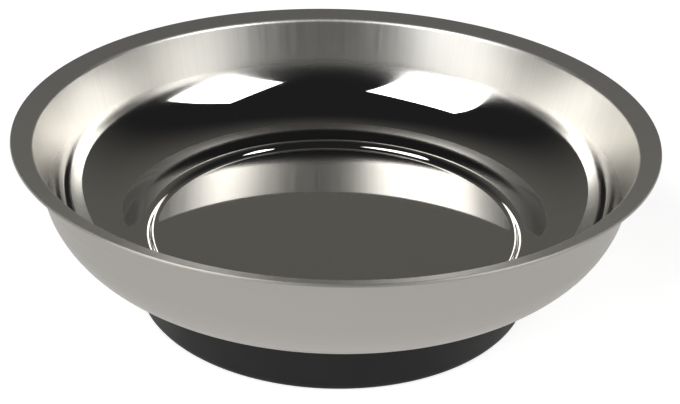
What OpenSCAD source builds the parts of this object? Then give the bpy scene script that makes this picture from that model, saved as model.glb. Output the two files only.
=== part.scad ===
// Magnetic parts tray: a pressed stainless dish on a rubber-covered ring magnet.
// Millimetres, +Z up, origin at the middle of the face that the tray stands on.

/* [Dish] */
// Outside diameter of the rim
rim_d = 150; // [130:1:200]
// Reach of the rim beyond the outside of the wall's top
rim_w = 4.2; // [3:0.1:10]
// Slope of the rim, rising towards its edge, in degrees
rim_slope = 21; // [0:0.5:35]
// Radius of the bend between wall and rim, on its underside
rim_bend_r = 0.4; // [0.3:0.1:2]
// Thickness of the dish's sheet
sheet_t = 0.8; // [0.5:0.1:1.2]
// Outside radius of the round lower part of the wall
wall_r = 19; // [16:0.5:24]
// Height of the straight part of the wall above the round part
wall_straight_h = 11; // [4:0.5:16]
// Outward lean of the straight part of the wall, in degrees
wall_lean = 12; // [0:0.5:15]
// Width of the flat ring between the wall and the step of the floor
foot_w = 3.5; // [1:0.5:5]
// Width of the rounded step round the floor
step_w = 3; // [2:0.5:5]
// Depth to which the floor is pressed below the flat ring
step_h = 1.5; // [0.6:0.1:2]

/* [Weld stud] */
// Thread diameter of the stud
stud_d = 6; // [5:1:8]
// Length of the stud below its flange
stud_len = 11.5; // [10.5:0.5:12]
// Diameter of the welded flange
stud_flange_d = 15; // [12:0.5:18]
// Thickness of the welded flange
stud_flange_t = 0.8; // [0.5:0.1:0.9]

/* [Magnet] */
// Thickness of the ring magnet
magnet_t = 10; // [9:0.2:14]
// Bore of the ring magnet
magnet_bore_d = 36; // [32:1:44]
// Width of the bevel on the magnet's edges
magnet_bevel = 0.8; // [0.3:0.1:1.5]
// Thickness of the foam pad over the magnet
pad_t = 1; // [0.9:0.1:1.6]
// Width of the foam pad, midway between the magnet's bore and the cover's lip
pad_w = 10; // [6:0.5:12]

/* [Clamp cup] */
// Thickness of the clamp cup's sheet
cup_t = 1; // [0.8:0.1:1.6]
// Distance that the clamp cup's flange keeps inside the magnet's edge
cup_flange_inset = 9; // [4:0.5:16]
// Radius of the bend between the clamp cup's flange and its wall, on the inside
cup_bend_r = 1; // [0.5:0.1:2]
// Gap that the cup's top keeps from the stud's flange, so that the nut clamps the magnet
cup_relief = 0.4; // [0.2:0.1:1]

/* [Rubber cover] */
// Thickness of the cover's floor
cover_floor_t = 1.8; // [1.2:0.1:3]
// Thickness of the cover's side at the top
cover_wall_t = 3.2; // [2.4:0.1:5]
// Width of the rim on top of the cover that locates the dish's floor
cover_rim_w = 1.6; // [0.8:0.1:3]
// Reach of the cover's upper lip over the magnet
cover_lip_w = 6; // [3:0.5:7]
// Draft of the cover's side, narrower at the table
cover_draft = 0.4; // [0:0.1:1.2]
// Radius of the cover's lower edge
cover_edge_r = 1.5; // [0.5:0.1:1.7]
// Diameter of the opening for the nut
cover_opening_d = 30; // [28:0.5:36]

/* [Fasteners] */
// Outside diameter of the flat washer
washer_d = 18; // [14:0.5:20]
// Thickness of the flat washer
washer_t = 1.6; // [1:0.1:2]
// Outside diameter of the spring washer
spring_d = 11.8; // [11:0.1:13]
// Thickness of the spring washer
spring_t = 1.6; // [1:0.1:2]
// Width of the slit in the spring washer
spring_slit = 1; // [0.6:0.1:1.6]
// Width of the nut across its flats
nut_af = 10; // [9:0.5:13]
// Height of the nut
nut_h = 5; // [4:0.1:6]
// Diameter of the nut's seat, inside its bevelled corners
nut_seat_d = 9.4; // [8.6:0.1:12]

/* [Fits] */
// Gap round the magnet, the clamp cup and the foam pad
fit_gap = 0.3; // [0.1:0.05:0.6]
// Gap between the stud's thread and the holes it passes through
stud_gap = 0.25; // [0.1:0.05:0.5]
// Gap between the stud's thread and the nut's
thread_gap = 0.05; // [0.02:0.01:0.1]

/* [Hidden] */
$fn = 180;

// Numbers of chords in the wall's round and in the small bends of the profiles
wall_steps = 30;
bend_steps = 10;
// Overrun of cuts past the faces they leave
overrun = 1;

// Heights of the stack, from the table up
magnet_z = cover_floor_t + cup_t;
pad_z = magnet_z + magnet_t;
floor_z = pad_z + pad_t;
cup_top_z = floor_z - stud_flange_t - cup_relief;
washer_z = cup_top_z - cup_t - washer_t;
spring_z = washer_z - spring_t;
nut_z = spring_z - nut_h;

// Radii of the dish, from the rim inwards
half_t = sheet_t / 2;
rim_r = rim_d / 2;
wall_mid_r = wall_r - half_t;
wall_top_mid_r = rim_r - rim_w - half_t * cos(wall_lean);
foot_r = wall_top_mid_r - wall_straight_h * tan(wall_lean) - wall_mid_r * cos(wall_lean);
step_out_r = foot_r - foot_w;
floor_r = step_out_r - step_w;

// Radii of the base, from the dish inwards
cover_rim_in_r = step_out_r + fit_gap;
cover_r = cover_rim_in_r + cover_rim_w;
cover_foot_r = cover_r - cover_draft;
magnet_r = cover_r - cover_wall_t - fit_gap;
magnet_bore_r = magnet_bore_d / 2;
cover_lip_in_r = magnet_r - cover_lip_w;
pad_mid_r = (magnet_bore_r + cover_lip_in_r) / 2;
cup_out_r = magnet_bore_r - fit_gap;
cup_flange_r = magnet_r - cup_flange_inset;
stud_r = stud_d / 2;
stud_hole_r = stud_r + stud_gap;
stud_bevel = stud_d / 8;

// Points of an arc round [cx, cz], each as [r, z, direction of travel]
function arc_path(cx, cz, radius, from, to, steps = bend_steps) =
    let (turn = to > from ? 90 : -90)
    [for (i = [0 : steps])
        let (a = from + (to - from) * i / steps)
        [cx + radius * cos(a), cz + radius * sin(a), a + turn]];

// Points of an arc as a plain outline
function arc_outline(cx, cz, radius, from, to) =
    [for (p = arc_path(cx, cz, radius, from, to)) [p[0], p[1]]];

// A path moved sideways, to the left of its direction of travel
function beside(path, shift) =
    [for (p = path) [p[0] - shift * sin(p[2]), p[1] + shift * cos(p[2])]];

function reversed(list) = [for (i = [len(list) - 1 : -1 : 0]) list[i]];

// Outline of a bent sheet of even thickness along the path of its middle
function sheet_outline(path, thickness) =
    concat(beside(path, -thickness / 2), reversed(beside(path, thickness / 2)));

// Middle of the dish's sheet, from the axis out to the rim's cut edge
floor_mid_z = floor_z + half_t;
foot_mid_z = floor_mid_z + step_h;
step_turn = 2 * atan(step_h / step_w);
step_mid_r = step_w / 2 / sin(step_turn);
wall_centre_z = foot_mid_z + wall_mid_r;
wall_top_z = wall_centre_z - wall_mid_r * sin(wall_lean) + wall_straight_h;
bend_mid_r = rim_bend_r + half_t;
bend_x = wall_top_mid_r + bend_mid_r * cos(wall_lean);
bend_z = wall_top_z - bend_mid_r * sin(wall_lean);
edge_x = rim_r - half_t * sin(rim_slope);
edge_z = bend_z + bend_mid_r / cos(rim_slope) + (edge_x - bend_x) * tan(rim_slope);
dish_path = concat(
    [[0, floor_mid_z, 0]],
    arc_path(floor_r, floor_mid_z + step_mid_r, step_mid_r, -90, step_turn - 90),
    arc_path(step_out_r, foot_mid_z - step_mid_r, step_mid_r, step_turn + 90, 90),
    arc_path(foot_r, wall_centre_z, wall_mid_r, -90, -wall_lean, wall_steps),
    arc_path(bend_x, bend_z, bend_mid_r, 180 - wall_lean, 90 + rim_slope),
    [[edge_x, edge_z, rim_slope]]
);

module dish() {
    color("silver")
    rotate_extrude()
    polygon(sheet_outline(dish_path, sheet_t));
}

module weld_stud() {
    flange_r = stud_flange_d / 2;
    stud_end_z = floor_z - stud_flange_t - stud_len;
    color("gainsboro")
    rotate_extrude()
    polygon([
        [0, floor_z],
        [flange_r, floor_z],
        [flange_r, floor_z - stud_flange_t],
        [stud_r, floor_z - stud_flange_t],
        [stud_r, stud_end_z + stud_bevel],
        [stud_r - stud_bevel, stud_end_z],
        [0, stud_end_z]
    ]);
}

module ring(outer_r, inner_r, z, height) {
    translate([0, 0, z])
    difference() {
        cylinder(r = outer_r, h = height);
        translate([0, 0, -overrun])
        cylinder(r = inner_r, h = height + 2 * overrun);
    }
}

module foam_pad() {
    color("dimgray")
    ring(pad_mid_r + pad_w / 2, pad_mid_r - pad_w / 2, pad_z, pad_t);
}

module ring_magnet() {
    b = magnet_bevel;
    color("#3a3a3c")
    rotate_extrude()
    polygon([
        [magnet_bore_r + b, magnet_z],
        [magnet_r - b, magnet_z],
        [magnet_r, magnet_z + b],
        [magnet_r, pad_z - b],
        [magnet_r - b, pad_z],
        [magnet_bore_r + b, pad_z],
        [magnet_bore_r, pad_z - b],
        [magnet_bore_r, magnet_z + b]
    ]);
}

module clamp_cup() {
    mid = cup_t / 2;
    bend = cup_bend_r + mid;
    top_z = cup_top_z - mid;
    path = concat(
        [[stud_hole_r, top_z, 0]],
        arc_path(cup_out_r - mid - bend, top_z - bend, bend, 90, 0),
        arc_path(cup_out_r - mid + bend, cover_floor_t + mid + bend, bend, 180, 270),
        [[cup_flange_r, cover_floor_t + mid, 0]]
    );
    color("lightsteelblue")
    rotate_extrude()
    polygon(sheet_outline(path, cup_t));
}

module base_cover() {
    pocket_r = magnet_r + fit_gap;
    opening_r = cover_opening_d / 2;
    cup_recess_r = cup_flange_r + fit_gap;
    top_z = floor_z + step_h;
    edge = arc_outline(cover_foot_r - cover_edge_r, cover_edge_r, cover_edge_r, -90, 0);
    color("#232323")
    rotate_extrude()
    polygon(concat(
        [[opening_r, 0]],
        edge,
        [
            [cover_r, top_z],
            [cover_rim_in_r, top_z],
            [cover_rim_in_r, floor_z],
            [cover_lip_in_r, floor_z],
            [cover_lip_in_r, pad_z],
            [pocket_r, pad_z],
            [pocket_r, magnet_z],
            [cup_recess_r, magnet_z],
            [cup_recess_r, cover_floor_t],
            [opening_r, cover_floor_t]
        ]
    ));
}

module flat_washer() {
    color("gainsboro")
    ring(washer_d / 2, stud_hole_r, washer_z, washer_t);
}

module lock_washer() {
    slit_tilt = 25;
    reach = spring_d / 2;
    color("lightgray")
    difference() {
        ring(reach, stud_hole_r, spring_z, spring_t);
        translate([reach, 0, spring_z + spring_t / 2])
        rotate([slit_tilt, 0, 0])
        cube([spring_d, spring_slit, spring_d], center = true);
    }
}

module hex_nut() {
    corner_r = nut_af / 2 / cos(30);
    seat_r = nut_seat_d / 2;
    bevel_h = (corner_r - seat_r) * tan(30);
    bore_r = stud_r + thread_gap;
    color("gainsboro")
    intersection() {
        translate([0, 0, nut_z])
        cylinder(r = corner_r, h = nut_h, $fn = 6);
        rotate_extrude()
        polygon([
            [bore_r, nut_z],
            [seat_r, nut_z],
            [corner_r, nut_z + bevel_h],
            [corner_r, nut_z + nut_h - bevel_h],
            [seat_r, nut_z + nut_h],
            [bore_r, nut_z + nut_h]
        ]);
    }
}

dish();
weld_stud();
foam_pad();
ring_magnet();
clamp_cup();
base_cover();
flat_washer();
lock_washer();
hex_nut();
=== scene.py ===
import math

import bpy
import numpy as np
from mathutils import Matrix, Vector


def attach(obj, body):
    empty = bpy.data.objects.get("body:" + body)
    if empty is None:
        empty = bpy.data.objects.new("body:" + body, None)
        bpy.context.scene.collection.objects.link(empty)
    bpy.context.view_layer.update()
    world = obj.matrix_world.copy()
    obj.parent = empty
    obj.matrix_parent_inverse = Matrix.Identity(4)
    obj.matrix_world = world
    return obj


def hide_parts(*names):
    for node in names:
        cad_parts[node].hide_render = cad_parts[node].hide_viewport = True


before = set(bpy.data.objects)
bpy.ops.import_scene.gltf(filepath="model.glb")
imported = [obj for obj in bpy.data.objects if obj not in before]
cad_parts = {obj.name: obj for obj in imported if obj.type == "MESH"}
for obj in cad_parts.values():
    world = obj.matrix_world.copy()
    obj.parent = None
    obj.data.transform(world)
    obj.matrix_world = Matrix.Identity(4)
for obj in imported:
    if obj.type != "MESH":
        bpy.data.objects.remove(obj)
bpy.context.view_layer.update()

# Driving sizes in millimetres and degrees, as in the part's source, with radii in place of diameters
# Dish
RIM_R = 75.0
RIM_W = 4.2  # reach beyond the outside of the wall's top
RIM_SLOPE = 21.0
RIM_BEND_R = 0.4  # on the rim's underside
SHEET_T = 0.8
WALL_R = 19.0  # outside of the wall's round lower part
WALL_STRAIGHT_H = 11.0  # of the leaning part above the round
WALL_LEAN = 12.0
FOOT_W = 3.5  # flat ring between the wall and the floor's step
STEP_W = 3.0
STEP_H = 1.5  # depth of the floor below the flat ring
# Stud
STUD_R = 3.0
STUD_LEN = 11.5  # below the flange
STUD_FLANGE_R = 7.5
STUD_FLANGE_T = 0.8
PITCH = 1.0
# Magnet and pad
MAGNET_T = 10.0
MAGNET_BORE_R = 18.0
PAD_T = 1.0
# Clamp cup
CUP_T = 1.0
CUP_FLANGE_INSET = 9.0  # inside the magnet's edge
CUP_BEND_R = 1.0  # on the inside
CUP_RELIEF = 0.4  # gap under the stud's flange
# Rubber cover
COVER_FLOOR_T = 1.8
COVER_WALL_T = 3.2  # at the top
COVER_RIM_W = 1.6  # rim that locates the dish
COVER_LIP_W = 6.0  # reach over the magnet
COVER_DRAFT = 0.4  # narrower at the table
COVER_EDGE_R = 1.5
COVER_OPENING_R = 15.0  # for the nut
# Washers and nut
WASHER_R = 9.0
WASHER_T = 1.6
SPRING_R = 5.9
SPRING_T = 1.6
SPRING_SLIT = 1.0
SPRING_TILT = 25.0
NUT_FLAT_R = 5.0  # half the width across flats
NUT_H = 5.0
NUT_SEAT_R = 4.7  # inside the bevelled corners
# Fits
FIT_GAP = 0.3  # round the magnet, the cup and the dish's step
STUD_GAP = 0.25  # between the stud and the holes it passes through
THREAD_GAP = 0.05  # between the stud's thread and the nut's

# Heights of the stack, from the table up
MAGNET_Z = COVER_FLOOR_T + CUP_T
PAD_Z = MAGNET_Z + MAGNET_T
FLOOR_Z = PAD_Z + PAD_T
CUP_TOP_Z = FLOOR_Z - STUD_FLANGE_T - CUP_RELIEF
WASHER_Z = CUP_TOP_Z - CUP_T - WASHER_T
SPRING_Z = WASHER_Z - SPRING_T
NUT_Z = SPRING_Z - NUT_H

# Radii of the middle of the dish's sheet, from the rim inwards
HALF_T = SHEET_T / 2
LEAN = math.radians(WALL_LEAN)
WALL_MID_R = WALL_R - HALF_T
WALL_TOP_R = RIM_R - RIM_W - HALF_T * math.cos(LEAN)
FOOT_R = WALL_TOP_R - WALL_STRAIGHT_H * math.tan(LEAN) - WALL_MID_R * math.cos(LEAN)
STEP_OUT_R = FOOT_R - FOOT_W
FLOOR_R = STEP_OUT_R - STEP_W

# Radii of the base, from the dish inwards
COVER_RIM_IN_R = STEP_OUT_R + FIT_GAP
COVER_R = COVER_RIM_IN_R + COVER_RIM_W
POCKET_R = COVER_R - COVER_WALL_T
MAGNET_R = POCKET_R - FIT_GAP
COVER_LIP_IN_R = MAGNET_R - COVER_LIP_W
CUP_FLANGE_R = MAGNET_R - CUP_FLANGE_INSET
CUP_OUT_R = MAGNET_BORE_R - FIT_GAP
STUD_HOLE_R = STUD_R + STUD_GAP

# One millimetre in metres, the unit of the meshes and of a material's coordinates
MM = 0.001
# The range that most of a noise pattern lies in
NOISE_RANGE = {"From Min": 0.3, "From Max": 0.7}
# The point above the table, in metres, that the lamps are aimed at
LAMP_AIM = (0, 0, 0.03)


def linear(colour):
    """A hex sRGB colour as linear RGBA.

    A channel c becomes c / 12.92 up to 0.04045, and ((c + 0.055) / 1.055) to the power 2.4 above it.
    """
    c = np.array([int(colour[i:i + 2], 16) for i in (1, 3, 5)]) / 255
    c = np.where(c <= 0.04045, c / 12.92, ((c + 0.055) / 1.055) ** 2.4)
    return (*c.tolist(), 1.0)


def add(tree, kind, props=None, inputs=None):
    """Adds a node, sets its properties, and gives each named input a value or a link from a socket."""
    node = tree.nodes.new(kind)
    for key, value in (props or {}).items():
        setattr(node, key, value)
    for key, value in (inputs or {}).items():
        if isinstance(value, bpy.types.NodeSocket):
            tree.links.new(value, node.inputs[key])
        else:
            node.inputs[key].default_value = value
    return node


def new_material(name):
    """An empty node material and its tree."""
    material = bpy.data.materials.new(name)
    material.use_nodes = True
    material.node_tree.nodes.clear()
    return material, material.node_tree


# Surfaces

def arc(cx, cz, radius, start, end, rows):
    """Rows (r, z, heading) on a circle: r = cx + R cos a and z = cz + R sin a.

    The heading is a quarter turn on from a, on the side that the arc travels to.
    """
    a = np.radians(np.linspace(start, end, rows))
    turn = math.copysign(math.pi / 2, end - start)
    return np.stack([cx + radius * np.cos(a), cz + radius * np.sin(a), a + turn], 1)


def run(p, q, rows):
    """Rows between p and q without the ends, at shares 3u^2 - 2u^3, which crowd towards both ends."""
    u = np.linspace(0, 1, rows + 2)[1:-1, None]
    share = 3 * u ** 2 - 2 * u ** 3
    p = np.array(p, float)
    q = np.array(q, float)
    heading = np.full((rows, 1), math.atan2(q[1] - p[1], q[0] - p[0]))
    return np.hstack([p[:2] + (q[:2] - p[:2]) * share, heading])


def beside(path, shift):
    """A path moved to the left of its heading h: (r - shift sin h, z + shift cos h)."""
    r, z, heading = path.T
    return np.stack([r - shift * np.sin(heading), z + shift * np.cos(heading)], 1)


def sheet_outline(path, thickness, bulge):
    """The outline of a bent sheet: its upper face, a rounded edge past the path's end, its lower face.

    The edge is half an ellipse: t/2 cos u across the sheet and bulge sin u along it, for u from 0 to pi.
    """
    steps = 8
    u = np.linspace(0, np.pi, steps + 1)[1:-1, None]
    end = path[-1]
    along = np.array([np.cos(end[2]), np.sin(end[2])])
    across = np.array([-np.sin(end[2]), np.cos(end[2])])
    edge = end[:2] + across * thickness / 2 * np.cos(u) + along * bulge * np.sin(u)
    return np.vstack([beside(path, thickness / 2), edge, beside(path, -thickness / 2)[::-1]])


def eased(corners, steps=7):
    """A closed outline whose corners (r, z, ease) become parabolas (1-u)^2 A + 2u(1-u) K + u^2 B.

    A and B lie the ease away from corner K on its two edges, and one more row beyond each, a quarter of
    the ease further on, keeps the edge flat.
    """
    k = np.array(corners, float)
    p = k[:, None, :2]
    back = np.roll(p, 1, 0) - p
    ahead = np.roll(p, -1, 0) - p
    back = back / np.linalg.norm(back, axis=2, keepdims=True)
    ahead = ahead / np.linalg.norm(ahead, axis=2, keepdims=True)
    ease = k[:, None, 2:]
    a = p + back * ease
    b = p + ahead * ease
    u = np.linspace(0, 1, steps)[None, :, None]
    curve = (1 - u) ** 2 * a + 2 * u * (1 - u) * p + u * u * b
    return np.concatenate([a + back * ease / 4, curve, b + ahead * ease / 4], 1).reshape(-1, 2)


def rings(rows, turns):
    """The r and z of plain rings: each row (r, z) is repeated at every angle."""
    grid = np.repeat(np.array(rows, float)[:, :, None], turns, axis=2)
    return grid[:, 0], grid[:, 1]


def turned(r, z, turns):
    """A profile turned about the Z axis: point (i, j) is (r cos a, r sin a, z) at a = 2 pi j / turns.

    r and z may change with j too. Rows that start and end on the axis close there in two single points,
    and other rows join last to first. Rows that would face inwards are taken in the other order.
    """
    area = np.sum(r[:, 0] * np.roll(z[:, 0], -1) - np.roll(r[:, 0], -1) * z[:, 0])
    if area > 0:
        r, z = r[::-1], z[::-1]
    on_axis = r[0, 0] == 0
    rows = slice(1, -1) if on_axis else slice(None)
    a = np.arange(turns) * 2 * np.pi / turns
    x = r[rows] * np.cos(a)
    y = r[rows] * np.sin(a)
    grid = np.stack([x, y, np.broadcast_to(z[rows], x.shape)], -1)
    n = len(grid)
    i = np.arange(n - 1 if on_axis else n)[:, None]
    j = np.arange(turns)[None, :]
    k = (j + 1) % turns
    here = i * turns
    below = (i + 1) % n * turns
    quads = np.stack([here + j, below + j, below + k, here + k], -1).reshape(-1, 4)
    points = grid.reshape(-1, 3)
    faces = quads.tolist()
    if on_axis:
        points = np.vstack([points, [[0, 0, z[0, 0]], [0, 0, z[-1, 0]]]])
        first = np.full(turns, n * turns)
        last = first + 1
        fan = np.stack([first, j[0], k[0]], 1)
        end = np.stack([last, (n - 1) * turns + k[0], (n - 1) * turns + j[0]], 1)
        faces = faces + fan.tolist() + end.tolist()
    return points, faces


def make_piece(name, points, faces, node, materials, sharp=32):
    """A mesh piece from points in millimetres, which stands for a CAD node and rides on the tray.

    Edges that bend by more than the sharp angle, in degrees, are shaded as corners.
    """
    mesh = bpy.data.meshes.new(name)
    mesh.from_pydata((np.asarray(points) * MM).tolist(), [], faces)
    mesh.update()
    mesh.shade_smooth()
    mesh.set_sharp_from_angle(angle=math.radians(sharp))
    for material in materials:
        mesh.materials.append(material)
    piece = bpy.data.objects.new(name, mesh)
    bpy.context.scene.collection.objects.link(piece)
    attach(piece, "root")
    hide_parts(node)
    return piece


# Finishes

def out_from_axis(tree, place):
    """The direction from the axis to a place, alike at all heights: (x, y, 0) made length 1."""
    flat = add(tree, "ShaderNodeVectorMath", {"operation": "MULTIPLY"},
               {0: place, 1: (1, 1, 0)}).outputs[0]
    return add(tree, "ShaderNodeVectorMath", {"operation": "NORMALIZE"}, {0: flat}).outputs[0]


def bright_steel():
    """Bright-rolled stainless steel, drawn: a mirror on the floor that grows satin up the stretched wall.

    To the eye it is a warm grey mirror below and a soft pale band with fine upright draw lines above.
    """
    # Heights in millimetres over which the wall grows satin, its streaks come in, and the rim begins
    satin_from, satin_to = 23.5, 32.5
    streaks_from, streaks_to = 31.0, 36.0
    rim_from, rim_to = 41.2, 42.4
    mirror_rough, satin_rough, rim_rough = 0.025, 0.315, 0.46
    streak_smooth, streak_rough = 0.29, 0.34
    # Upright draw lines, gathered in streaks, with their widths at the wall's top in millimetres
    line_w = 0.59
    streak_w = 1.77
    wall_top_r = RIM_R - RIM_W

    material, tree = new_material("stainless_steel_bright_drawn")
    place = add(tree, "ShaderNodeTexCoord").outputs["Object"]
    height = add(tree, "ShaderNodeSeparateXYZ", None, {0: place}).outputs["Z"]
    satin = add(tree, "ShaderNodeMapRange", {"interpolation_type": "SMOOTHSTEP"},
                {"Value": height, "From Min": satin_from * MM, "From Max": satin_to * MM}).outputs[0]
    round_way = out_from_axis(tree, place)
    lines = add(tree, "ShaderNodeTexNoise", None,
                {"Vector": round_way, "Scale": wall_top_r / line_w, "Detail": 2.0}).outputs["Fac"]
    streaks = add(tree, "ShaderNodeTexNoise", None,
                  {"Vector": round_way, "Scale": wall_top_r / streak_w, "Detail": 3.0}).outputs["Fac"]
    spread = add(tree, "ShaderNodeMapRange", None,
                 {"Value": streaks, **NOISE_RANGE,
                  "To Min": streak_smooth, "To Max": streak_rough}).outputs[0]
    rough = add(tree, "ShaderNodeMapRange", None,
                {"Value": satin, "To Min": mirror_rough, "To Max": satin_rough}).outputs[0]
    upper = add(tree, "ShaderNodeMapRange", {"interpolation_type": "SMOOTHSTEP"},
                {"Value": height, "From Min": streaks_from * MM, "From Max": streaks_to * MM}).outputs[0]
    rough = add(tree, "ShaderNodeMapRange", None,
                {"Value": upper, "To Min": rough, "To Max": spread}).outputs[0]
    # The flared rim is brushed rougher than the wall
    rim = add(tree, "ShaderNodeMapRange", {"interpolation_type": "SMOOTHSTEP"},
              {"Value": height, "From Min": rim_from * MM, "From Max": rim_to * MM}).outputs[0]
    rough = add(tree, "ShaderNodeMapRange", None,
                {"Value": rim, "To Min": rough, "To Max": rim_rough}).outputs[0]
    tint = add(tree, "ShaderNodeMix", {"data_type": "RGBA"},
               {"Factor": lines, 6: linear("#d4d2cd"), 7: linear("#e0deda")}).outputs[2]
    shader = add(tree, "ShaderNodeBsdfPrincipled", None,
                 {"Base Color": tint, "Metallic": 1.0, "Roughness": rough})
    add(tree, "ShaderNodeOutputMaterial", None, {"Surface": shader.outputs[0]})
    return material


def satin_steel_painted_shade():
    """Stainless steel brushed round the outside while the bowl turns: a grey satin with fine rings. Its
    grey is painted shade, far darker than the same steel's inside, and it dims what the outside reflects.
    """
    # Brush lines are about 0.1 mm wide; they are drawn at 0.5 mm so that they show
    line_w = 0.5
    material, tree = new_material("stainless_steel_satin_brushed_painted_shade")
    place = add(tree, "ShaderNodeTexCoord").outputs["Object"]
    along = add(tree, "ShaderNodeAttribute", {"attribute_name": "along"}).outputs["Fac"]
    split = add(tree, "ShaderNodeSeparateXYZ", None, {0: out_from_axis(tree, place)})
    across = add(tree, "ShaderNodeMath", {"operation": "MULTIPLY"},
                 {0: along, 1: 1 / (line_w * MM)}).outputs[0]
    lay = add(tree, "ShaderNodeCombineXYZ", None,
              {0: split.outputs[0], 1: split.outputs[1], 2: across}).outputs[0]
    lines = add(tree, "ShaderNodeTexNoise", None,
                {"Vector": lay, "Scale": 1.0, "Detail": 3.0}).outputs["Fac"]
    rough = add(tree, "ShaderNodeMapRange", None,
                {"Value": lines, **NOISE_RANGE, "To Min": 0.42, "To Max": 0.52}).outputs[0]
    # Both tints are painted shade, far darker than the same steel inside, to dim the outside's
    # reflections; the fine rings vary them
    tint = add(tree, "ShaderNodeMix", {"data_type": "RGBA"},
               {"Factor": lines, 6: linear("#928f8a"), 7: linear("#9a9792")}).outputs[2]
    shader = add(tree, "ShaderNodeBsdfPrincipled", None,
                 {"Base Color": tint, "Metallic": 1.0, "Roughness": rough})
    add(tree, "ShaderNodeOutputMaterial", None, {"Surface": shader.outputs[0]})
    return material


def black_rubber():
    """Moulded black rubber: near-black with a soft satin sheen and the fine grain of a blasted mould."""
    # The mould's grain is about 0.1 mm; it is drawn at 0.5 mm so that it shows
    grain_w = 0.5
    # Cloudy patches in the sheen, three to 25 mm
    cloud_w = 25 / 3
    material, tree = new_material("rubber_black_moulded")
    place = add(tree, "ShaderNodeTexCoord").outputs["Object"]
    grain = add(tree, "ShaderNodeTexNoise", None,
                {"Vector": place, "Scale": 1 / (grain_w * MM), "Detail": 2.0}).outputs["Fac"]
    cloud = add(tree, "ShaderNodeTexNoise", None,
                {"Vector": place, "Scale": 1 / (cloud_w * MM), "Detail": 2.0}).outputs["Fac"]
    rough = add(tree, "ShaderNodeMapRange", None,
                {"Value": cloud, **NOISE_RANGE, "To Min": 0.48, "To Max": 0.58}).outputs[0]
    tint = add(tree, "ShaderNodeMix", {"data_type": "RGBA"},
               {"Factor": cloud, 6: linear("#101010"), 7: linear("#131313")}).outputs[2]
    bump = add(tree, "ShaderNodeBump", None, {"Strength": 0.15, "Distance": 0.1 * MM, "Height": grain})
    shader = add(tree, "ShaderNodeBsdfPrincipled", None,
                 {"Base Color": tint, "Roughness": rough, "IOR": 1.52, "Specular IOR Level": 0.2,
                  "Normal": bump.outputs[0]})
    add(tree, "ShaderNodeOutputMaterial", None, {"Surface": shader.outputs[0]})
    return material


def zinc_plate():
    """Bright zinc-plated steel: a cool pale metal with a slightly cloudy lustre."""
    # Width of the plating's cloudy patches in millimetres
    cloud_w = 2.0
    material, tree = new_material("steel_zinc_plated")
    place = add(tree, "ShaderNodeTexCoord").outputs["Object"]
    cloud = add(tree, "ShaderNodeTexNoise", None,
                {"Vector": place, "Scale": 1 / (cloud_w * MM), "Detail": 3.0}).outputs["Fac"]
    rough = add(tree, "ShaderNodeMapRange", None,
                {"Value": cloud, **NOISE_RANGE, "To Min": 0.22, "To Max": 0.34}).outputs[0]
    tint = add(tree, "ShaderNodeMix", {"data_type": "RGBA"},
               {"Factor": cloud, 6: linear("#bcc0c4"), 7: linear("#c9ccce")}).outputs[2]
    shader = add(tree, "ShaderNodeBsdfPrincipled", None,
                 {"Base Color": tint, "Metallic": 1.0, "Roughness": rough})
    add(tree, "ShaderNodeOutputMaterial", None, {"Surface": shader.outputs[0]})
    return material


def ferrite():
    """Sintered ferrite, ground flat: dull charcoal grey with pale specks."""
    # Distance between specks in millimetres
    speck_gap = 0.5
    material, tree = new_material("ferrite_sintered")
    place = add(tree, "ShaderNodeTexCoord").outputs["Object"]
    specks = add(tree, "ShaderNodeTexNoise", None,
                 {"Vector": place, "Scale": 1 / (speck_gap * MM), "Detail": 2.0}).outputs["Fac"]
    tint = add(tree, "ShaderNodeMix", {"data_type": "RGBA"},
               {"Factor": specks, 6: linear("#333335"), 7: linear("#4a4a4c")}).outputs[2]
    shader = add(tree, "ShaderNodeBsdfPrincipled", None, {"Base Color": tint, "Roughness": 0.6})
    add(tree, "ShaderNodeOutputMaterial", None, {"Surface": shader.outputs[0]})
    return material


def foam():
    """Closed-cell foam: matt dark grey, pitted with cells, with painted shade darkening the pits."""
    # Width of a cell in millimetres
    cell_w = 0.4
    material, tree = new_material("foam_closed_cell")
    place = add(tree, "ShaderNodeTexCoord").outputs["Object"]
    cells = add(tree, "ShaderNodeTexVoronoi", None,
                {"Vector": place, "Scale": 1 / (cell_w * MM)}).outputs["Distance"]
    # Darker towards each cell's middle, where the bump sinks its pit: painted shade in the pits
    tint = add(tree, "ShaderNodeMix", {"data_type": "RGBA"},
               {"Factor": cells, 6: linear("#3c3c40"), 7: linear("#4c4c50")}).outputs[2]
    bump = add(tree, "ShaderNodeBump", None, {"Strength": 0.3, "Distance": 0.2 * MM, "Height": cells})
    shader = add(tree, "ShaderNodeBsdfPrincipled", None,
                 {"Base Color": tint, "Roughness": 0.9, "Normal": bump.outputs[0]})
    add(tree, "ShaderNodeOutputMaterial", None, {"Surface": shader.outputs[0]})
    return material


# Pieces

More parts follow.
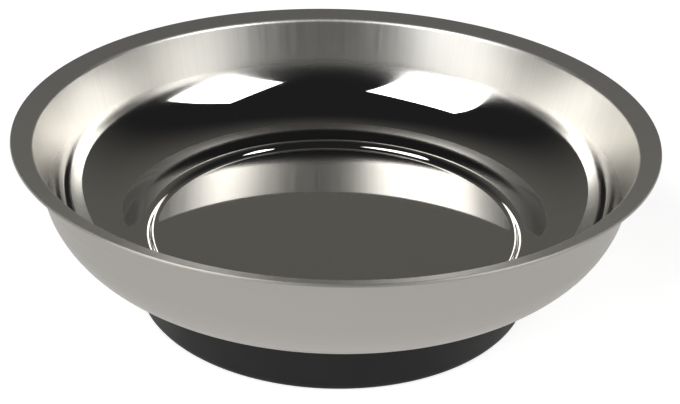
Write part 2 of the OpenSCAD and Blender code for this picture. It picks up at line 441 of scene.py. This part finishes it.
def dish_profile():
    """The dish's section, and how many of its rows are on the upper face.

    The middle of the sheet runs from the axis over the floor, the two bends of the step, the flat ring,
    the wall's round, the leaning wall and the rim's bend to the flared rim. The sheet lies half its
    thickness to each side of it.
    """
    # How far the deburred edge of the rim bulges
    bulge = 0.12
    floor_z = FLOOR_Z + HALF_T
    foot_z = floor_z + STEP_H
    step_angle = 2 * math.atan(STEP_H / STEP_W)
    step_r = STEP_W / 2 / math.sin(step_angle)
    step_turn = math.degrees(step_angle)
    wall_z = foot_z + WALL_MID_R
    wall_top_z = wall_z - WALL_MID_R * math.sin(LEAN) + WALL_STRAIGHT_H
    bend_r = RIM_BEND_R + HALF_T
    bend_x = WALL_TOP_R + bend_r * math.cos(LEAN)
    bend_z = wall_top_z - bend_r * math.sin(LEAN)
    slope = math.radians(RIM_SLOPE)
    edge_x = RIM_R - HALF_T * math.sin(slope)
    edge_z = bend_z + bend_r / math.cos(slope) + (edge_x - bend_x) * math.tan(slope)
    end = (edge_x - bulge * math.cos(slope), edge_z - bulge * math.sin(slope))
    step_up = arc(FLOOR_R, floor_z + step_r, step_r, -90, step_turn - 90, rows=10)
    step_out = arc(STEP_OUT_R, foot_z - step_r, step_r, step_turn + 90, 90, rows=10)
    wall = arc(FOOT_R, wall_z, WALL_MID_R, -90, -WALL_LEAN, rows=44)
    bend = arc(bend_x, bend_z, bend_r, 180 - WALL_LEAN, 90 + RIM_SLOPE, rows=20)
    path = np.vstack([
        [[0, floor_z, 0]],
        run((0, floor_z), (FLOOR_R, floor_z), rows=16),
        step_up,
        step_out[1:],
        run(step_out[-1], wall[0], rows=8),
        wall,
        run(wall[-1], bend[0], rows=14),
        bend,
        run(bend[-1], end, rows=8),
        [[*end, slope]],
    ])
    return sheet_outline(path, SHEET_T, bulge), len(path)


def make_dish(inside, outside):
    """The dish: its section turned about the axis, bright on the upper face and satin on the rest.

    Each point's attribute along is its distance from the axis along the section, in metres. The last
    point, on the axis below the floor, takes that of the ring beside it.
    """
    turns = 256
    profile, upper = dish_profile()
    points, faces = turned(profile[:, :1], profile[:, 1:], turns)
    piece = make_piece("dish_drawn", points, faces, "dish", [inside, outside], sharp=60)
    rows = len(profile) - 2
    steps = np.linalg.norm(np.diff(profile, axis=0), axis=1)
    along = np.cumsum(steps)[:rows] * MM
    attribute = piece.data.attributes.new("along", "FLOAT", "POINT")
    ends = [0.0, along[-1]]
    attribute.data.foreach_set("value", np.append(np.repeat(along, turns), ends).astype(np.float32))
    # The faces between two rows come first, then the fans at the middle of the upper and the lower face
    row_of_face = np.repeat(np.arange(rows - 1), turns)
    # The rim's rounded edge takes the outside's steel too, whose painted shade dims the edge's highlight
    is_outside = np.concatenate([row_of_face >= upper - 1, np.zeros(turns, bool), np.ones(turns, bool)])
    piece.data.polygons.foreach_set("material_index", is_outside.astype(np.int32))
    return piece


def make_cover(rubber):
    """The rubber cover: an eased outline turned about the axis."""
    top_z = FLOOR_Z + STEP_H
    foot_r = COVER_R - COVER_DRAFT
    recess_r = CUP_FLANGE_R + FIT_GAP
    # Eases of the corners: at the opening, on top, and softer or tighter ones inside
    opening_ease = 0.5
    top_ease = 0.4
    soft = 0.3
    tight = 0.2
    outline = eased([
        (COVER_OPENING_R, 0, opening_ease),
        (foot_r, 0, COVER_EDGE_R),
        (COVER_R, top_z, top_ease),
        (COVER_RIM_IN_R, top_z, soft),
        (COVER_RIM_IN_R, FLOOR_Z, tight),
        (COVER_LIP_IN_R, FLOOR_Z, soft),
        (COVER_LIP_IN_R, PAD_Z, tight),
        (POCKET_R, PAD_Z, soft),
        (POCKET_R, MAGNET_Z, soft),
        (recess_r, MAGNET_Z, tight),
        (recess_r, COVER_FLOOR_T, tight),
        (COVER_OPENING_R, COVER_FLOOR_T, opening_ease),
    ])
    points, faces = turned(outline[:, :1], outline[:, 1:], turns=192)
    return make_piece("cover_moulded", points, faces, "base_cover", [rubber])


def make_cup(zinc):
    """The pressed cup under the magnet: a sheet of top, two bends and flange, turned about the axis."""
    # How far the flange's edge bulges
    bulge = 0.08
    half = CUP_T / 2
    bend_r = CUP_BEND_R + half
    wall_r = CUP_OUT_R - half
    top_z = CUP_TOP_Z - half
    flange_z = COVER_FLOOR_T + half
    start = (STUD_HOLE_R, top_z)
    end = (CUP_FLANGE_R - bulge, flange_z)
    top = arc(wall_r - bend_r, top_z - bend_r, bend_r, 90, 0, rows=9)
    foot = arc(wall_r + bend_r, flange_z + bend_r, bend_r, 180, 270, rows=9)
    path = np.vstack([
        [[*start, 0]],
        run(start, top[0], rows=8),
        top,
        run(top[-1], foot[0], rows=6),
        foot,
        run(foot[-1], end, rows=8),
        [[*end, 0]],
    ])
    outline = sheet_outline(path, CUP_T, bulge)
    points, faces = turned(outline[:, :1], outline[:, 1:], turns=128)
    return make_piece("cup_pressed", points, faces, "clamp_cup", [zinc], sharp=40)


def make_stud(zinc):
    """The stud: a flange, then a thread whose radius falls by its depth between crests.

    At height z and angle a the phase is z / pitch - a / 2 pi; half a phase away from a crest is the root.
    The thread runs out below the flange, and its tip is cut to a cone of 45 degrees.
    """
    turns = 48
    flange_z = FLOOR_Z - STUD_FLANGE_T
    tip_z = flange_z - STUD_LEN
    tip_r = STUD_R * 3 / 4
    thread_depth = 0.61 * PITCH
    # Shares of the pitch that are flat on the crest and at the root
    crest = 1 / 8
    root = 1 / 4
    # The height at which the thread has run out, and over how much height it does
    runout_z = flange_z - 0.6
    runout_h = 0.8
    # The thread's rows, of which the first and the last keep this far from flange and tip
    inset = 0.1
    thread_rows = 170
    a = np.arange(turns)[None, :] * 2 * np.pi / turns
    z = np.linspace(flange_z - inset, tip_z + inset, thread_rows)[:, None]
    phase = (z / PITCH - a / (2 * np.pi)) % 1.0
    depth = np.clip((np.abs(2 * phase - 1) - crest) / (1 - root - crest), 0, 1)
    fade = np.clip((runout_z - z) / runout_h, 0, 1)
    r = np.minimum(STUD_R - thread_depth * depth * fade, tip_r + (z - tip_z))
    # The flange's edges are eased by these widths across and down
    ease_r = 0.2
    ease_z = 0.15
    # The fillet under the flange, across and down, and the ease of the tip
    fillet_r = 0.1
    fillet_z = 0.05
    tip_ease = 0.05
    head_r, head_z = rings([
        (0, FLOOR_Z),
        (STUD_FLANGE_R - ease_r, FLOOR_Z),
        (STUD_FLANGE_R, FLOOR_Z - ease_z),
        (STUD_FLANGE_R, flange_z + ease_z),
        (STUD_FLANGE_R - ease_r, flange_z),
        (STUD_R + fillet_r, flange_z),
        (STUD_R, flange_z - fillet_z),
    ], turns)
    end_r, end_z = rings([(tip_r - tip_ease, tip_z), (0, tip_z)], turns)
    z = np.broadcast_to(z, r.shape)
    points, faces = turned(np.vstack([head_r, r, end_r]), np.vstack([head_z, z, end_z]), turns)
    return make_piece("stud_threaded", points, faces, "weld_stud", [zinc], sharp=50)


def make_washer(zinc):
    """The flat washer: a punched ring, eased more on the side that the punch entered."""
    top_z = WASHER_Z + WASHER_T
    punched_hole = 0.2
    punched_edge = 0.4
    far_side = 0.1
    outline = eased([
        (STUD_HOLE_R, WASHER_Z, punched_hole),
        (WASHER_R, WASHER_Z, punched_edge),
        (WASHER_R, top_z, far_side),
        (STUD_HOLE_R, top_z, far_side),
    ])
    points, faces = turned(outline[:, :1], outline[:, 1:], turns=96)
    return make_piece("washer_punched", points, faces, "flat_washer", [zinc])


def make_spring(zinc):
    """The split spring washer: an eased section carried round the stud, from a slanting slit back to it.

    At radius r and height h above the middle, the slit's sides lie at y = +-w / (2 cos t) - h tan t, for
    a slit of width w and tilt t.
    """
    top_z = SPRING_Z + SPRING_T
    ease = 0.15
    sections = 97
    outline = eased([
        (STUD_HOLE_R, SPRING_Z, ease),
        (SPRING_R, SPRING_Z, ease),
        (SPRING_R, top_z, ease),
        (STUD_HOLE_R, top_z, ease),
    ], steps=5)
    r = outline[None, :, 0]
    z = outline[None, :, 1]
    tilt = math.radians(SPRING_TILT)
    half = SPRING_SLIT / 2 / math.cos(tilt)
    slant = (z - SPRING_Z - SPRING_T / 2) * math.tan(tilt)
    first = np.arcsin((half - slant) / r)
    last = 2 * np.pi + np.arcsin((-half - slant) / r)
    a = first + (last - first) * np.linspace(0, 1, sections)[:, None]
    points = np.stack([r * np.cos(a), r * np.sin(a), np.broadcast_to(z, a.shape)], -1).reshape(-1, 3)
    n, m = a.shape
    i = np.arange(n - 1)[:, None]
    j = np.arange(m)[None, :]
    k = (j + 1) % m
    quads = np.stack([(i + 1) * m + j, (i + 1) * m + k, i * m + k, i * m + j], -1).reshape(-1, 4)
    first_end = np.arange(m)
    last_end = first_end[::-1] + (n - 1) * m
    faces = quads.tolist() + [first_end.tolist(), last_end.tolist()]
    return make_piece("spring_washer_split", points, faces, "lock_washer", [zinc])


def make_nut(zinc):
    """The hexagon nut: its radius is the least of the flat's and of two cones of 30 degrees.

    The flat's radius is half the width across flats over cos(a - middle of the flat).
    """
    turns = 144
    top_z = NUT_Z + NUT_H
    bore_r = STUD_R + THREAD_GAP
    # Depth of the bore's countersinks, and the angle of the bevelled corners in degrees
    sink = 0.3
    bevel = 30
    # Rows lie close together up to the first height from each end, where the corners are bevelled,
    # and wide apart past the second
    close = 0.65
    wide = 0.9
    close_rows = 14
    wide_rows = 5
    a = np.arange(turns)[None, :] * 2 * np.pi / turns
    flat = NUT_FLAT_R / np.cos(a % (np.pi / 3) - np.pi / 6)
    z = np.concatenate([
        np.linspace(NUT_Z, NUT_Z + close, close_rows),
        np.linspace(NUT_Z + wide, top_z - wide, wide_rows),
        np.linspace(top_z - close, top_z, close_rows),
    ])[:, None]
    cone = NUT_SEAT_R + np.minimum(z - NUT_Z, top_z - z) / math.tan(math.radians(bevel))
    outer = np.minimum(flat, cone)
    inner_r, inner_z = rings([
        (bore_r + sink, top_z),
        (bore_r, top_z - sink),
        (bore_r, NUT_Z + sink),
        (bore_r + sink, NUT_Z),
    ], turns)
    z = np.broadcast_to(z, outer.shape)
    points, faces = turned(np.vstack([outer, inner_r]), np.vstack([z, inner_z]), turns)
    return make_piece("nut_hexagon", points, faces, "hex_nut", [zinc], sharp=20)


zinc = zinc_plate()
make_dish(bright_steel(), satin_steel_painted_shade())
make_cover(black_rubber())
make_cup(zinc)
make_stud(zinc)
make_washer(zinc)
make_spring(zinc)
make_nut(zinc)
for node_name, finish in (("ring_magnet", ferrite()), ("foam_pad", foam())):
    for material_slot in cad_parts[node_name].material_slots:
        material_slot.material = finish


# Studio, in metres

def make_floor():
    """A pale floor: a disc (R cos a, R sin a) just below the tray.

    Its glow shows only to the camera and in what mirrors or refracts, and lights nothing else.
    """
    radius = 6.0
    drop = 0.1 * MM
    sides = 96
    glow_strength = 0.64
    material, tree = new_material("floor_pale")
    path = add(tree, "ShaderNodeLightPath")
    seen = add(tree, "ShaderNodeMath", {"operation": "MAXIMUM"},
               {0: path.outputs["Is Camera Ray"], 1: path.outputs["Is Glossy Ray"]}).outputs[0]
    seen = add(tree, "ShaderNodeMath", {"operation": "MAXIMUM"},
               {0: seen, 1: path.outputs["Is Transmission Ray"]}).outputs[0]
    strength = add(tree, "ShaderNodeMath", {"operation": "MULTIPLY"},
                   {0: seen, 1: glow_strength}).outputs[0]
    diffuse = add(tree, "ShaderNodeBsdfDiffuse", None, {"Color": (0.8, 0.8, 0.8, 1)})
    glow = add(tree, "ShaderNodeEmission", None, {"Color": (1, 1, 1, 1), "Strength": strength})
    both = add(tree, "ShaderNodeAddShader", None, {0: diffuse.outputs[0], 1: glow.outputs[0]})
    add(tree, "ShaderNodeOutputMaterial", None, {"Surface": both.outputs[0]})
    a = np.arange(sides) * 2 * np.pi / sides
    points = np.stack([radius * np.cos(a), radius * np.sin(a), np.full(sides, -drop)], 1)
    mesh = bpy.data.meshes.new("floor")
    mesh.from_pydata(points.tolist(), [], [list(range(sides))])
    mesh.materials.append(material)
    floor = bpy.data.objects.new("floor", mesh)
    bpy.context.scene.collection.objects.link(floor)


def toward(azimuth, rise, distance):
    """The point at a distance from the lamps' aim, turned from straight behind the tray towards +X.

    It lies at d (cos e sin a, cos e cos a, sin e) from the aim, for azimuth a and rise e in degrees.
    """
    a = math.radians(azimuth)
    e = math.radians(rise)
    way = Vector((math.cos(e) * math.sin(a), math.cos(e) * math.cos(a), math.sin(e)))
    return Vector(LAMP_AIM) + way * distance


def softbox(name, at, width, height, roll, power):
    """A rectangular soft light at a point, turned towards the lamps' aim and rolled by some degrees."""
    lamp = bpy.data.lights.new(name, "AREA")
    lamp.shape = "RECTANGLE"
    lamp.size = width
    lamp.size_y = height
    lamp.energy = power
    light = bpy.data.objects.new(name, lamp)
    light.location = at
    aim = (Vector(LAMP_AIM) - at).to_track_quat("-Z", "Y").to_matrix()
    light.rotation_euler = (aim @ Matrix.Rotation(math.radians(roll), 3, "Z")).to_euler()
    light.visible_camera = False
    bpy.context.scene.collection.objects.link(light)


def make_world():
    """A dim studio round the tray, dark grey with a paler side behind it."""
    world = bpy.data.worlds.new("studio")
    bpy.context.scene.world = world
    world.use_nodes = True
    tree = world.node_tree
    way = add(tree, "ShaderNodeTexCoord").outputs["Generated"]
    behind = add(tree, "ShaderNodeSeparateXYZ", None, {0: way}).outputs["Y"]
    share = add(tree, "ShaderNodeMapRange", {"interpolation_type": "SMOOTHSTEP"},
                {"Value": behind, "From Min": 0.15, "From Max": 1.0}).outputs[0]
    dusk = add(tree, "ShaderNodeMix", {"data_type": "RGBA"},
               {"Factor": share, 6: linear("#232325"), 7: linear("#656460")}).outputs[2]
    tree.links.new(dusk, tree.nodes["Background"].inputs["Color"])


def turn_about(axis, degrees):
    """The 3 by 3 turn by an angle about axis 0, 1 or 2."""
    angle = math.radians(degrees)
    i, j = [(1, 2), (2, 0), (0, 1)][axis]
    m = np.eye(3)
    m[i, i] = m[j, j] = math.cos(angle)
    m[i, j] = -math.sin(angle)
    m[j, i] = math.sin(angle)
    return m


def make_camera():
    """The photo's camera: set back from a point above the table, then turned by roll, tilt and pan."""
    distance = 0.320
    target = np.array([0, 0, 0.020])
    rise = math.radians(28.27)
    roll, tilt, pan = 1.43, -0.21, -0.22
    # The focal length and the photo's width in pixels, and the sensor's width in millimetres
    focal_px = 1315.0
    photo_px = 680
    sensor_w = 36.0
    ahead = np.array([0, math.cos(rise), -math.sin(rise)])
    right = np.array([1.0, 0, 0])
    level = np.array([right, np.cross(ahead, right), ahead])
    axes = turn_about(2, roll) @ turn_about(0, tilt) @ turn_about(1, pan) @ level
    matrix = np.eye(4)
    matrix[:3, :3] = np.stack([axes[0], -axes[1], -axes[2]], 1)
    matrix[:3, 3] = target - distance * ahead
    lens = bpy.data.cameras.new("camera")
    lens.sensor_fit = "HORIZONTAL"
    lens.sensor_width = sensor_w
    lens.lens = focal_px / photo_px * sensor_w
    lens.clip_start = 0.01
    camera = bpy.data.objects.new("camera", lens)
    camera.matrix_world = Matrix(matrix.tolist())
    bpy.context.scene.collection.objects.link(camera)
    bpy.context.scene.camera = camera


make_floor()
softbox("softbox_left", toward(-130.7, 33.3, 0.9), width=0.62, height=0.87, roll=-3.5, power=7.4)
softbox("softbox_right", toward(123.1, 32.1, 0.9), width=0.57, height=0.60, roll=27, power=4.8)
make_world()
make_camera()
bpy.context.scene.view_settings.view_transform = "Standard"
